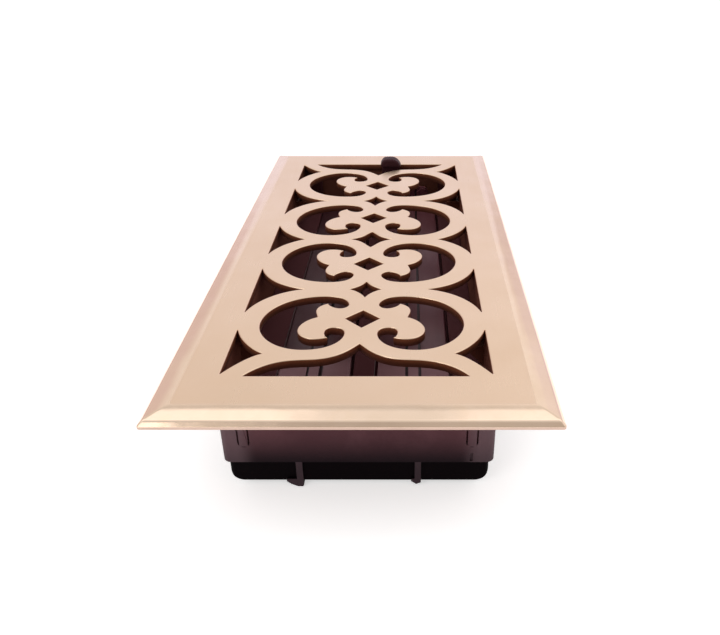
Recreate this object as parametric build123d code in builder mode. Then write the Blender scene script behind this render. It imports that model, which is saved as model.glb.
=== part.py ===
from build123d import *
import os

# Floor register for a 4 x 10 inch duct: a pierced cast brass face over a
# plastic damper box with two opposed-edge blades worked by a thumb lever.
#
# Millimetres.  Origin: centre of the plate's underside, in the floor plane.
# +X across the register, +Y along it towards the lever, +Z up into the room.

# ---------------------------------------------------------------- face plate
PLATE_W = 136.5          # 5 3/8 in
PLATE_L = 289.0          # 11 3/8 in
PLATE_T = 4.0            # floor plane to the flat top
EDGE_LAND = 1.2          # upright edge below the rolled edge
ROLL_IN = 1.5            # rolled edge, measured in plan
ROLL_Z = 2.75            # top of the rolled edge
BEVEL_IN = 6.8           # rolled edge and bevel together, in plan
WEB_Z = 0.6              # underside of the web, inside the rim
RIM = 5.0                # width of the rim that lies on the floor

SIDE_X = 47.3            # straight side of the pierced field
END_Y = 119.5            # straight end of the pierced field
ROW_INNER = 25.9         # centres of the scroll rows
ROW_OUTER = 81.3
MIRROR_Y = 53.6          # mirror plane between two rows

# one scroll opening, local frame: u outward from the centre line, v along
# the row towards its pointed lobe; three smooth runs that meet in corners
NECK = [(17.80, 3.36), (18.55, 6.30), (18.95, 9.05), (18.40, 11.35),
        (16.80, 13.35), (14.56, 14.74)]
OUTER = [(14.56, 14.74), (11.78, 11.39), (8.77, 10.73), (6.43, 12.78),
         (6.67, 16.14), (9.13, 19.21), (13.04, 20.71), (18.15, 20.91),
         (23.29, 20.00), (28.09, 18.04), (32.28, 15.11), (35.62, 11.32),
         (38.01, 6.80), (39.30, 1.87), (39.38, -3.15), (38.22, -8.02),
         (35.88, -12.51), (32.56, -16.30), (28.48, -19.09),
         (23.88, -20.64), (18.98, -20.89), (14.27, -19.82),
         (10.30, -17.48), (7.57, -14.04), (6.37, -9.85), (7.13, -6.35),
         (9.97, -4.87), (13.05, -5.71), (13.85, -8.78), (12.41, -12.27)]
LOBE = [(12.41, -12.27), (15.40, -13.25), (18.35, -13.40), (20.85, -12.55),
        (22.87, -10.77), (24.15, -8.35), (24.45, -5.65), (23.80, -2.85),
        (22.30, -0.22), (20.25, 1.93), (17.80, 3.36)]

# openings at the two ends and in the four corners of the field
END_ARCH = [(39.1, 119.3), (37.3, 117.0), (34.6, 114.4), (31.2, 112.0),
            (27.5, 110.4), (23.4, 109.5), (19.0, 109.1), (14.6, 108.7),
            (10.2, 107.4), (6.2, 105.0), (2.8, 101.6), (0.0, 98.0)]
CORNER_UP = [(47.3, 87.6), (45.9, 91.5), (44.0, 95.2), (41.3, 99.0),
             (38.3, 102.3), (34.9, 104.9)]
CORNER_DOWN = [(34.9, 104.9), (37.4, 106.3), (40.0, 108.6), (42.6, 111.5),
               (45.0, 114.7), (47.3, 118.2)]

# ------------------------------------------------------------- damper casing
BOX_W = 98.4             # fits a 101.6 x 254 mm floor opening
BOX_L = 247.6
BOX_R = 3.0              # upright corners
WALL = 1.5
BOX_LOW = -30.7          # lower edge of the upper casing
TRAY_GAP = 0.2           # tray to casing
TRAY_LOW = -40.6         # underside of the tray
TRAY_R = 5.0             # rounded lower edges along the sides
FOOT_LOW = -43.1         # feet of the end ribs
FLANGE_OUT = 1.2         # stiffening lip round the casing's mouth
FLANGE_T = 1.2
RIB_TOP = BOX_LOW - 0.2  # ribs on the tray's end walls
RIB_OUT = 0.8
EAR_X, EAR_Y = 43.1, 80.8    # four screws
EAR_TOP = -5.0
EAR_T = 2.4

# -------------------------------------------------------------- blades, link
AXIS_X = 20.0            # blade axes
AXIS_Z = -20.0
BLADE_W = 29.0
BLADE_T = 2.0
BLADE_Y0 = -116.4        # blade ends
BLADE_Y1 = 109.6
SPINE_W = 4.2
SPINE_H = 2.2            # above and below the axis
PIVOT_R = 2.0
BORE_R = 2.05            # running fit on the pivots
MOUTH = 3.5              # snap mouth above each bearing
BULK_Y0, BULK_Y1 = 110.4, 112.6      # bulkhead with the rear bearings
CRANK_Y0, CRANK_Y1 = 113.0, 114.8
CRANK_R = 10.0
CRANK_D = CRANK_R * 0.70710678       # crank stands at 45 degrees when closed
PIN_R = 1.5
PIN_HOLE_R = 1.55
LINK_Y0, LINK_Y1 = 115.0, 117.0
LINK_H = 7.0
CLIP_Y0, CLIP_Y1 = 117.15, 117.95
PIN_Y1 = 118.4
LEVER_TOP = 9.2

IN_X = BOX_W / 2 - WALL              # inside of the upper casing
IN_Y = BOX_L / 2 - WALL
TRAY_X = IN_X - TRAY_GAP             # outside of the tray
TRAY_Y = IN_Y - TRAY_GAP
DECK_TOP = AXIS_Z + 1.0
DECK_LOW = AXIS_Z - 1.0

os.makedirs("parts", exist_ok=True)


def flip(points, sx, sy, y0):
    """Local (u, v) points of one opening, mirrored and moved to their row."""
    return [(sx * u, y0 + sy * v) for u, v in points]


# ================================================================= faceplate
with BuildPart() as faceplate:
    with BuildSketch(Plane.XY):
        Rectangle(PLATE_W, PLATE_L)
    extrude(amount=EDGE_LAND)
    with BuildSketch(Plane.XY.offset(EDGE_LAND)):
        Rectangle(PLATE_W, PLATE_L)
    with BuildSketch(Plane.XY.offset(ROLL_Z)):
        Rectangle(PLATE_W - 2 * ROLL_IN, PLATE_L - 2 * ROLL_IN)
    loft(ruled=True)
    with BuildSketch(Plane.XY.offset(ROLL_Z)):
        Rectangle(PLATE_W - 2 * ROLL_IN, PLATE_L - 2 * ROLL_IN)
    with BuildSketch(Plane.XY.offset(PLATE_T)):
        Rectangle(PLATE_W - 2 * BEVEL_IN, PLATE_L - 2 * BEVEL_IN)
    loft(ruled=True)
    # shallow hollow under the web, so only the rim lies on the floor
    with BuildSketch(Plane.XY):
        RectangleRounded(PLATE_W - 2 * RIM, PLATE_L - 2 * RIM, 3)
    extrude(amount=WEB_Z, mode=Mode.SUBTRACT)

    # scroll openings: four rows, left and right
    with BuildSketch(Plane.XY.offset(-1)):
        for y0, sy in ((-ROW_OUTER, 1), (-ROW_INNER, -1),
                       (ROW_INNER, 1), (ROW_OUTER, -1)):
            for sx in (1, -1):
                with BuildLine():
                    Spline(*flip(NECK, sx, sy, y0))
                    Spline(*flip(OUTER, sx, sy, y0))
                    Spline(*flip(LOBE, sx, sy, y0))
                make_face()
            # kite between the two scrolls of a row
            with BuildLine():
                Polyline(*flip([(0, 9.1), (6.84, 2.37), (0, -4.75),
                                (-6.84, 2.37)], 1, sy, y0), close=True)
            make_face()
    # openings between the rows
    with BuildSketch(Plane.XY.offset(-1)):
        for y0 in (-MIRROR_Y, MIRROR_Y):
            with BuildLine():
                a, b = 6.84, 7.22
                for p, m, q in (((a, 0), (2.8, 2.95), (0, b)),
                                ((0, b), (-2.8, 2.95), (-a, 0)),
                                ((-a, 0), (-2.8, -2.95), (0, -b)),
                                ((0, -b), (2.8, -2.95), (a, 0))):
                    ThreePointArc((p[0], y0 + p[1]), (m[0], y0 + m[1]),
                                  (q[0], y0 + q[1]))
            make_face()
            for sx in (1, -1):
                with BuildLine():
                    ThreePointArc((sx * SIDE_X, y0 + 20.3),
                                  (sx * 39.44, y0 + 7.14), (sx * 25.9, y0))
                    ThreePointArc((sx * 25.9, y0), (sx * 39.44, y0 - 7.14),
                                  (sx * SIDE_X, y0 - 20.3))
                    Line((sx * SIDE_X, y0 - 20.3), (sx * SIDE_X, y0 + 20.3))
                make_face()
        # centre star and the two middle spandrels
        with BuildLine():
            for sx, sy in ((1, 1), (-1, 1), (-1, -1), (1, -1)):
                Spline((sx * 10.2, 0), (sx * 6.9, sy * 1.45),
                       (sx * 4.3, sy * 3.5), (sx * 2.2, sy * 6.3),
                       (0, sy * 9.4))
        make_face()
        for sx in (1, -1):
            with BuildLine():
                ThreePointArc((sx * SIDE_X, 17.3), (sx * 41.55, 7.10),
                              (sx * 32.2, 0))
                ThreePointArc((sx * 32.2, 0), (sx * 41.55, -7.10),
                              (sx * SIDE_X, -17.3))
                Line((sx * SIDE_X, -17.3), (sx * SIDE_X, 17.3))
            make_face()
        # ends and corners
        for sy in (1, -1):
            with BuildLine():
                right = flip(END_ARCH, 1, sy, 0)
                left = flip(END_ARCH, -1, sy, 0)
                Spline(*right)
                Spline(*left)
                Polyline(right[0], (39.1, sy * END_Y), (-39.1, sy * END_Y),
                         left[0])
            make_face()
            for sx in (1, -1):
                with BuildLine():
                    Spline(*flip(CORNER_UP, sx, sy, 0))
                    Spline(*flip(CORNER_DOWN, sx, sy, 0))
                    Line((sx * SIDE_X, sy * 87.6), (sx * SIDE_X, sy * 118.2))
                make_face()
    extrude(amount=PLATE_T + 2, mode=Mode.SUBTRACT)

    # cast bosses for the casing screws, blind from below
    with BuildSketch(Plane.XY.offset(EAR_TOP)):
        with Locations(*[(sx * EAR_X, sy * EAR_Y)
                         for sx in (1, -1) for sy in (1, -1)]):
            Circle(3.0)
    extrude(amount=WEB_Z - EAR_TOP + 0.6)
    with BuildSketch(Plane.XY.offset(EAR_TOP)):
        with Locations(*[(sx * EAR_X, sy * EAR_Y)
                         for sx in (1, -1) for sy in (1, -1)]):
            Circle(1.3)
    extrude(amount=6.6, mode=Mode.SUBTRACT)
faceplate.part.label = "faceplate"
export_step(faceplate.part, "parts/faceplate.step")

# ============================================================ damper housing
TONGUE_X = 40.8          # snap tongues in the end walls
TONGUE_W = 3.2
TONGUE_END = -21.6
SLOT = 0.6
with BuildPart() as damper_housing:
    with BuildSketch(Plane.XY.offset(BOX_LOW)):
        RectangleRounded(BOX_W, BOX_L, BOX_R)
    extrude(amount=WEB_Z - BOX_LOW)
    # stiffening lip under the face plate
    with BuildSketch(Plane.XY.offset(WEB_Z - FLANGE_T)):
        RectangleRounded(BOX_W + 2 * FLANGE_OUT, BOX_L + 2 * FLANGE_OUT,
                         BOX_R + FLANGE_OUT)
    extrude(amount=FLANGE_T)
    with BuildSketch(Plane.XY.offset(BOX_LOW)):
        RectangleRounded(2 * IN_X, 2 * IN_Y, BOX_R - WALL)
    extrude(amount=WEB_Z - BOX_LOW, mode=Mode.SUBTRACT)
    # four screw ears with a gusset each, inside the side walls
    for sx in (1, -1):
        for sy in (1, -1):
            with BuildSketch(Plane.XY.offset(EAR_TOP - EAR_T)):
                with Locations((sx * (IN_X - 3.4), sy * EAR_Y)):
                    Rectangle(8.2, 9.6)
            extrude(amount=EAR_T)
            for d in (-4.2, 4.2):
                with BuildSketch(Plane.XZ.offset(-(sy * EAR_Y + d + 0.6))):
                    with BuildLine():
                        Polyline((sx * (IN_X + 0.5), EAR_TOP - EAR_T + 0.2),
                                 (sx * (IN_X - 6.4), EAR_TOP - EAR_T + 0.2),
                                 (sx * (IN_X + 0.5), EAR_TOP - EAR_T - 7),
                                 close=True)
                    make_face()
                extrude(amount=1.2)
    with BuildSketch(Plane.XY.offset(EAR_TOP - EAR_T - 1)):
        with Locations(*[(sx * EAR_X, sy * EAR_Y)
                         for sx in (1, -1) for sy in (1, -1)]):
            Circle(1.7)
    extrude(amount=EAR_T + 2, mode=Mode.SUBTRACT)
    # U-shaped slots free a snap tongue near each end of both end walls
    for sy in (1, -1):
        for sx in (1, -1):
            with BuildSketch(Plane.XZ.offset(-sy * (IN_Y + WALL / 2))):
                with Locations((sx * TONGUE_X, (TONGUE_END - 2.0) / 2)):
                    Rectangle(TONGUE_W + 2 * SLOT, -TONGUE_END - 2.0)
                with Locations((sx * TONGUE_X, TONGUE_END)):
                    Circle(TONGUE_W / 2 + SLOT)
                with Locations((sx * TONGUE_X, (TONGUE_END - 1.0) / 2)):
                    Rectangle(TONGUE_W, -TONGUE_END + 3.0,
                              mode=Mode.SUBTRACT)
                with Locations((sx * TONGUE_X, TONGUE_END)):
                    Circle(TONGUE_W / 2, mode=Mode.SUBTRACT)
            extrude(amount=WALL / 2 + 0.6, both=True, mode=Mode.SUBTRACT)
            # hook on the inside of the tongue
            with BuildSketch(Plane.XZ.offset(-sy * (IN_Y + 0.5))):
                with Locations((sx * TONGUE_X, TONGUE_END + 0.2)):
                    Rectangle(2.6, 2.0)
            extrude(amount=sy * 1.4)
    # gate mark on the front wall
    with BuildSketch(Plane.XZ.offset(BOX_L / 2 - 0.6)):
        with Locations((TONGUE_X, -28.4)):
            Rectangle(1.0, 3.6)
    extrude(amount=1.2, mode=Mode.SUBTRACT)
damper_housing.part.label = "damper_housing"
export_step(damper_housing.part, "parts/damper_housing.step")

# ============================================================== bottom frame
WIN_X0, WIN_X1 = 4.2, 35.8      # blade windows in the seat
WIN_LEFT = 35.3                 # outer edge of the left window
WIN_Y = 117.4
INLET_X = 37.0                  # opening in the tray's underside
LIP_TOP = DECK_LOW - 2.4        # closing lip, 0.4 under the blade's return
with BuildPart() as bottom_frame:
    # tray: lower edges rounded along the sides, open top
    with BuildSketch(Plane.XZ.offset(TRAY_Y)) as section:
        with Locations((0, (TRAY_LOW + DECK_TOP) / 2)):
            Rectangle(2 * TRAY_X, DECK_TOP - TRAY_LOW)
        fillet(section.vertices().group_by(Axis.Y)[0], TRAY_R)
    extrude(amount=-2 * TRAY_Y)
    with BuildSketch(Plane.XY.offset(TRAY_LOW - 1)):
        RectangleRounded(2 * TRAY_X, 2 * TRAY_Y, BOX_R - WALL + 0.2)
    extrude(amount=DECK_TOP - TRAY_LOW + 2, mode=Mode.INTERSECT)
    with BuildSketch(Plane.XZ.offset(TRAY_Y - WALL)) as cavity:
        with Locations((0, (TRAY_LOW + WALL + DECK_LOW) / 2)):
            Rectangle(2 * (TRAY_X - WALL), DECK_LOW - TRAY_LOW - WALL)
        fillet(cavity.vertices().group_by(Axis.Y)[0], TRAY_R - WALL)
    extrude(amount=-2 * (TRAY_Y - WALL), mode=Mode.SUBTRACT)
    # air inlet in the underside, split by the centre rib
    with BuildSketch(Plane.XY.offset(TRAY_LOW - 1)):
        RectangleRounded(2 * INLET_X, 2 * 108.0, 4)
    extrude(amount=WALL + 2, mode=Mode.SUBTRACT)
    # two blade windows in the seat
    for sx, outer in ((1, WIN_X1), (-1, WIN_LEFT)):
        with BuildSketch(Plane.XY.offset(DECK_LOW - 1)):
            with Locations((sx * (WIN_X0 + outer) / 2, 0)):
                Rectangle(outer - WIN_X0, 2 * WIN_Y)
        extrude(amount=4, mode=Mode.SUBTRACT)
    # crank well behind the bulkhead
    with BuildSketch(Plane.XY.offset(DECK_LOW - 1)):
        with Locations((0, (BULK_Y1 + TRAY_Y - WALL) / 2)):
            Rectangle(2 * 36.8, TRAY_Y - WALL - BULK_Y1)
    extrude(amount=4, mode=Mode.SUBTRACT)
    # centre rib below the middle bar
    with BuildSketch(Plane.XY.offset(TRAY_LOW + 0.5)):
        with Locations((0, (BULK_Y0 - TRAY_Y + 4.6) / 2)):
            Rectangle(2.0, BULK_Y0 + TRAY_Y - 4.6 + 0.6)
    extrude(amount=DECK_LOW - TRAY_LOW - 0.3)
    # skirts below the gap at the left-hand edge of each blade
    for x in (WIN_X0 + 0.2, -WIN_LEFT - 0.2):
        with BuildSketch(Plane.XY.offset(LIP_TOP - 1.2)):
            with Locations((x, (BLADE_Y0 + BULK_Y0) / 2)):
                Rectangle(2.0, BULK_Y0 - BLADE_Y0 + 1.6)
        extrude(amount=1.2)
        with BuildSketch(Plane.XY.offset(LIP_TOP - 1.2)):
            with Locations((x - 0.8, (BLADE_Y0 + BULK_Y0) / 2)):
                Rectangle(1.2, BULK_Y0 - BLADE_Y0 + 1.6)
        extrude(amount=DECK_LOW - LIP_TOP + 1.4)
    # closing lips under the right-hand edge of each blade
    for x in (-WIN_X0 - 1.25, WIN_X1 - 1.25):
        with BuildSketch(Plane.XY.offset(LIP_TOP - 1.2)):
            with Locations((x + 0.6, (BLADE_Y0 + BULK_Y0) / 2)):
                Rectangle(3.7, BULK_Y0 - BLADE_Y0 + 1.6)
        extrude(amount=1.2)
    for x, w in ((-WIN_X0 + 1.0, 2.0), (WIN_X1 + 1.0, 2.0)):
        with BuildSketch(Plane.XY.offset(LIP_TOP - 1.2)):
            with Locations((x, (BLADE_Y0 + BULK_Y0) / 2)):
                Rectangle(w, BULK_Y0 - BLADE_Y0 + 1.6)
        extrude(amount=DECK_LOW - LIP_TOP + 1.4)
    # front bearing posts
    with BuildSketch(Plane.XZ.offset(TRAY_Y - WALL + 0.4)):
        for sx in (1, -1):
            with Locations((sx * AXIS_X, (TRAY_LOW + AXIS_Z + 4.4) / 2)):
                Rectangle(10, AXIS_Z + 2.8 - TRAY_LOW)
    extrude(amount=-3.9)
    # rear bulkhead from wall to wall
    with BuildSketch(Plane.XZ.offset(-BULK_Y1)) as bulkhead:
        with Locations((0, (TRAY_LOW + DECK_TOP) / 2 + 0.4)):
            Rectangle(2 * (TRAY_X - 1.0), DECK_TOP - TRAY_LOW - 0.8)
        fillet(bulkhead.vertices().group_by(Axis.Y)[0], TRAY_R - 1.0)
        for sx in (1, -1):
            with Locations((sx * AXIS_X, AXIS_Z + 1.2)):
                Rectangle(10, 4.8)
    extrude(amount=BULK_Y1 - BULK_Y0)
    # bearings with a snap mouth above
    for sx in (1, -1):
        with BuildSketch(Plane.XZ.offset(-125)):
            with Locations((sx * AXIS_X, AXIS_Z)):
                Circle(BORE_R)
            with Locations((sx * AXIS_X, AXIS_Z + 5)):
                Rectangle(MOUTH, 10)
        extrude(amount=125 - BULK_Y0 + 0.5, mode=Mode.SUBTRACT)
        with BuildSketch(Plane.XZ.offset(TRAY_Y - WALL)):
            with Locations((sx * AXIS_X, AXIS_Z)):
                Circle(BORE_R)
            with Locations((sx * AXIS_X, AXIS_Z + 5)):
                Rectangle(MOUTH, 10)
        extrude(amount=-4, mode=Mode.SUBTRACT)
    # upright tabs behind the snap tongues
    for sy in (1, -1):
        for sx in (1, -1):
            with BuildSketch(Plane.XY.offset(DECK_TOP - 2.5)):
                with Locations((sx * TONGUE_X, sy * (TRAY_Y - 0.9))):
                    Rectangle(7.6, 1.8)
            extrude(amount=-1.0 - DECK_TOP + 2.5)
    # pockets for the hooks of the snap tongues
    for sy in (1, -1):
        for sx in (1, -1):
            with BuildSketch(Plane.XY.offset(TONGUE_END - 1.1)):
                with Locations((sx * TONGUE_X, sy * TRAY_Y)):
                    Rectangle(3.2, 2.2)
            extrude(amount=2.6, mode=Mode.SUBTRACT)
    # two ribs on each end wall, each ending in a foot under the tray
    for sy in (1, -1):
        with BuildSketch(Plane.XZ.offset(-sy * (TRAY_Y + RIB_OUT))):
            with Locations((-21.9, (RIB_TOP - 39.8) / 2)):
                Rectangle(2.4, RIB_TOP + 39.8)
            with Locations((21.5, (RIB_TOP - 39.8) / 2)):
                Rectangle(2.3, RIB_TOP + 39.8)
        extrude(amount=sy * (RIB_OUT + 1.0))
        with BuildSketch(Plane.XZ.offset(-sy * (TRAY_Y + RIB_OUT))):
            with BuildLine():
                Polyline((-20.7, TRAY_LOW + 1.0), (-20.7, -42.6),
                         (-21.1, FOOT_LOW), (-22.9, FOOT_LOW),
                         (-25.4, -41.9), (-27.0, TRAY_LOW),
                         (-26.6, TRAY_LOW + 1.0), close=True)
            make_face()
            with BuildLine():
                Polyline((22.65, TRAY_LOW + 1.0), (22.65, -41.2),
                         (20.9, -42.0), (19.0, TRAY_LOW),
                         (19.2, TRAY_LOW + 1.0), close=True)
            make_face()
        extrude(amount=sy * 6.0)
bottom_frame.part.label = "bottom_frame"
export_step(bottom_frame.part, "parts/bottom_frame.step")


# ==================================================================== blades
def blade_length_ribs():
    return [BLADE_Y0 + 8 + i * 30.0 for i in range(8)]


with BuildPart() as blade_left:
    with BuildSketch(Plane.XY.offset(AXIS_Z - BLADE_T / 2)):
        with Locations((-AXIS_X, (BLADE_Y0 + BLADE_Y1) / 2)):
            Rectangle(BLADE_W, BLADE_Y1 - BLADE_Y0)
    extrude(amount=BLADE_T)
    fillet(blade_left.edges().filter_by(Axis.Y), 0.6)
    with BuildSketch(Plane.XY.offset(AXIS_Z - SPINE_H)):
        with Locations((-AXIS_X, (BLADE_Y0 + BLADE_Y1) / 2)):
            Rectangle(SPINE_W, BLADE_Y1 - BLADE_Y0)
    extrude(amount=2 * SPINE_H)
    # stiffening ribs on the underside
    with BuildSketch(Plane.XY.offset(AXIS_Z - 2.0)):
        with Locations(*[(-AXIS_X, y) for y in blade_length_ribs()]):
            Rectangle(BLADE_W - 6, 1.4)
    extrude(amount=1.2)
    # return along the edge that meets the closing lip
    with BuildSketch(Plane.XY.offset(AXIS_Z - 3.0)):
        with Locations((-AXIS_X + BLADE_W / 2 - 0.75,
                        (BLADE_Y0 + BLADE_Y1) / 2)):
            Rectangle(1.3, BLADE_Y1 - BLADE_Y0)
    extrude(amount=2.6)
    # grooves along both sides of the spine
    with BuildSketch(Plane.XY.offset(AXIS_Z + 0.1)):
        for d in (-1, 1):
            with Locations((-AXIS_X + d * (SPINE_W / 2 + 0.55),
                            (BLADE_Y0 + BLADE_Y1) / 2)):
                Rectangle(1.1, BLADE_Y1 - BLADE_Y0 + 1)
    extrude(amount=1.5, mode=Mode.SUBTRACT)
    # pivots
    with BuildSketch(Plane.XZ.offset(-CRANK_Y0 - 0.2)):
        with Locations((-AXIS_X, AXIS_Z)):
            Circle(PIVOT_R)
    extrude(amount=CRANK_Y0 - BLADE_Y1 + 0.6)
    with BuildSketch(Plane.XZ.offset(-BLADE_Y0 - 0.5)):
        with Locations((-AXIS_X, AXIS_Z)):
            Circle(PIVOT_R)
    extrude(amount=3.4)
    # crank arm and pin
    with BuildSketch(Plane.XZ.offset(-CRANK_Y1)):
        with Locations((-AXIS_X, AXIS_Z)):
            Circle(3.6)
        with Locations((-AXIS_X + CRANK_D, AXIS_Z + CRANK_D)):
            Circle(2.9)
        make_hull()
    extrude(amount=CRANK_Y1 - CRANK_Y0)
    with BuildSketch(Plane.XZ.offset(-PIN_Y1)):
        with Locations((-AXIS_X + CRANK_D, AXIS_Z + CRANK_D)):
            Circle(PIN_R)
    extrude(amount=PIN_Y1 - CRANK_Y1 + 0.4)
blade_left.part.label = "blade_left"
export_step(blade_left.part, "parts/blade_left.step")

with BuildPart() as blade_right:
    with BuildSketch(Plane.XY.offset(AXIS_Z - BLADE_T / 2)):
        with Locations((AXIS_X, (BLADE_Y0 + BLADE_Y1) / 2)):
            Rectangle(BLADE_W, BLADE_Y1 - BLADE_Y0)
    extrude(amount=BLADE_T)
    fillet(blade_right.edges().filter_by(Axis.Y), 0.6)
    with BuildSketch(Plane.XY.offset(AXIS_Z - SPINE_H)):
        with Locations((AXIS_X, (BLADE_Y0 + BLADE_Y1) / 2)):
            Rectangle(SPINE_W, BLADE_Y1 - BLADE_Y0)
    extrude(amount=2 * SPINE_H)
    with BuildSketch(Plane.XY.offset(AXIS_Z - 2.0)):
        with Locations(*[(AXIS_X, y) for y in blade_length_ribs()]):
            Rectangle(BLADE_W - 6, 1.4)
    extrude(amount=1.2)
    # return along the edge that meets the closing lip
    with BuildSketch(Plane.XY.offset(AXIS_Z - 3.0)):
        with Locations((AXIS_X + BLADE_W / 2 - 0.75,
                        (BLADE_Y0 + BLADE_Y1) / 2)):
            Rectangle(1.3, BLADE_Y1 - BLADE_Y0)
    extrude(amount=2.6)
    # grooves along both sides of the spine
    with BuildSketch(Plane.XY.offset(AXIS_Z + 0.1)):
        for d in (-1, 1):
            with Locations((AXIS_X + d * (SPINE_W / 2 + 0.55),
                            (BLADE_Y0 + BLADE_Y1) / 2)):
                Rectangle(1.1, BLADE_Y1 - BLADE_Y0 + 1)
    extrude(amount=1.5, mode=Mode.SUBTRACT)
    with BuildSketch(Plane.XZ.offset(-CRANK_Y0 - 0.2)):
        with Locations((AXIS_X, AXIS_Z)):
            Circle(PIVOT_R)
    extrude(amount=CRANK_Y0 - BLADE_Y1 + 0.6)
    with BuildSketch(Plane.XZ.offset(-BLADE_Y0 - 0.5)):
        with Locations((AXIS_X, AXIS_Z)):
            Circle(PIVOT_R)
    extrude(amount=3.4)
    with BuildSketch(Plane.XZ.offset(-CRANK_Y1)):
        with Locations((AXIS_X, AXIS_Z)):
            Circle(3.6)
        with Locations((AXIS_X + CRANK_D, AXIS_Z + CRANK_D)):
            Circle(2.9)
        make_hull()
    extrude(amount=CRANK_Y1 - CRANK_Y0)
    with BuildSketch(Plane.XZ.offset(-PIN_Y1)):
        with Locations((AXIS_X + CRANK_D, AXIS_Z + CRANK_D)):
            Circle(PIN_R)
    extrude(amount=PIN_Y1 - CRANK_Y1 + 0.4)
blade_right.part.label = "blade_right"
export_step(blade_right.part, "parts/blade_right.step")

# ================================================== link bar, lever and clips
PIN_Z = AXIS_Z + CRANK_D
TAB_W = 8.0
TAB_TOP = 2.0
with BuildPart() as link_bar:
    with BuildSketch(Plane.XZ.offset(-LINK_Y1)):
        with Locations((CRANK_D, PIN_Z)):
            SlotCenterToCenter(2 * AXIS_X, LINK_H)
        with Locations((CRANK_D, (PIN_Z + TAB_TOP) / 2)):
            Rectangle(TAB_W, TAB_TOP - PIN_Z)
    extrude(amount=LINK_Y1 - LINK_Y0)
    # raised rim that stiffens the bar
    with BuildSketch(Plane.XZ.offset(-LINK_Y1 - 0.9)):
        with Locations((CRANK_D, PIN_Z - LINK_H / 2 + 0.6)):
            Rectangle(2 * AXIS_X - 9, 1.2)
    extrude(amount=1.0)
    with BuildSketch(Plane.XZ.offset(-LINK_Y1 - 1)):
        with Locations((CRANK_D - AXIS_X, PIN_Z), (CRANK_D + AXIS_X, PIN_Z)):
            Circle(PIN_HOLE_R)
    extrude(amount=LINK_Y1 - LINK_Y0 + 2, mode=Mode.SUBTRACT)
link_bar.part.label = "link_bar"
export_step(link_bar.part, "parts/link_bar.step")

# thumb lever: stem pushed over the bar's tab, domed pad above the face plate
LEVER_MID = (LINK_Y0 + LINK_Y1) / 2
PAD_LOW = 4.7
with BuildPart() as thumb_lever:
    with BuildSketch(Plane.XY.offset(-7.5)):
        with Locations((CRANK_D, LEVER_MID)):
            RectangleRounded(11.0, 4.8, 1.2)
    extrude(amount=PAD_LOW + 7.5 + 0.5)
    # pad profile across the register, steeper on the side it is pushed open
    with BuildSketch(Plane.XZ.offset(-(LEVER_MID + 4.0))):
        with BuildLine():
            pad = Spline((CRANK_D - 6.2, PAD_LOW), (CRANK_D - 5.6, 7.2),
                         (CRANK_D - 3.9, 8.8), (CRANK_D - 1.0, LEVER_TOP),
                         (CRANK_D + 2.2, 8.9), (CRANK_D + 4.6, 7.4),
                         (CRANK_D + 6.2, PAD_LOW))
            Line(pad @ 1, pad @ 0)
        make_face()
    extrude(amount=8.0)
    ends = thumb_lever.faces().filter_by(Axis.Y).sort_by(Axis.Y)
    fillet([e for f in (ends[0], ends[-1]) for e in f.edges()
            if e.center().Z > PAD_LOW + 0.5], 1.4)
    # grip grooves over the crown
    with BuildSketch(Plane.XZ.offset(-(LEVER_MID + 5.0))):
        with Locations(*[(CRANK_D - 0.6 + d, LEVER_TOP + 0.26 - d * d * 0.035)
                         for d in (-2.4, -0.8, 0.8, 2.4)]):
            Circle(0.5)
    extrude(amount=10.0, mode=Mode.SUBTRACT)
    # socket for the tab
    with BuildSketch(Plane.XY.offset(-8.5)):
        with Locations((CRANK_D, LEVER_MID)):
            Rectangle(TAB_W, LINK_Y1 - LINK_Y0)
    extrude(amount=TAB_TOP + 8.5, mode=Mode.SUBTRACT)
thumb_lever.part.label = "thumb_lever"
export_step(thumb_lever.part, "parts/thumb_lever.step")

with BuildPart() as link_clip_left:
    with BuildSketch(Plane.XZ.offset(-CLIP_Y1)):
        with Locations((-AXIS_X + CRANK_D, PIN_Z)):
            Circle(3.0)
            Circle(PIN_R, mode=Mode.SUBTRACT)
            with PolarLocations(2.1, 3, start_angle=90):
                Circle(0.55, mode=Mode.SUBTRACT)
    extrude(amount=CLIP_Y1 - CLIP_Y0)
link_clip_left.part.label = "link_clip_left"
export_step(link_clip_left.part, "parts/link_clip_left.step")

with BuildPart() as link_clip_right:
    with BuildSketch(Plane.XZ.offset(-CLIP_Y1)):
        with Locations((AXIS_X + CRANK_D, PIN_Z)):
            Circle(3.0)
            Circle(PIN_R, mode=Mode.SUBTRACT)
            with PolarLocations(2.1, 3, start_angle=90):
                Circle(0.55, mode=Mode.SUBTRACT)
    extrude(amount=CLIP_Y1 - CLIP_Y0)
link_clip_right.part.label = "link_clip_right"
export_step(link_clip_right.part, "parts/link_clip_right.step")

# ============================================================== plate screws
with BuildPart() as plate_screws:
    spots = [(sx * EAR_X, sy * EAR_Y) for sx in (1, -1) for sy in (1, -1)]
    with BuildSketch(Plane.XY.offset(EAR_TOP - EAR_T - 2.0)):
        with Locations(*spots):
            Circle(2.8)
    extrude(amount=2.0)
    fillet(plate_screws.edges().filter_by(GeomType.CIRCLE)
           .group_by(Axis.Z)[0], 0.9)
    with BuildSketch(Plane.XY.offset(EAR_TOP - EAR_T - 0.2)):
        with Locations(*spots):
            Circle(1.45)
    extrude(amount=8.0)
    # cross recess
    with BuildSketch(Plane.XY.offset(EAR_TOP - EAR_T - 2.1)):
        with Locations(*spots):
            Rectangle(3.2, 0.7)
            Rectangle(0.7, 3.2)
    extrude(amount=1.3, mode=Mode.SUBTRACT)
plate_screws.part.label = "plate_screws"
export_step(plate_screws.part, "parts/plate_screws.step")
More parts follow.
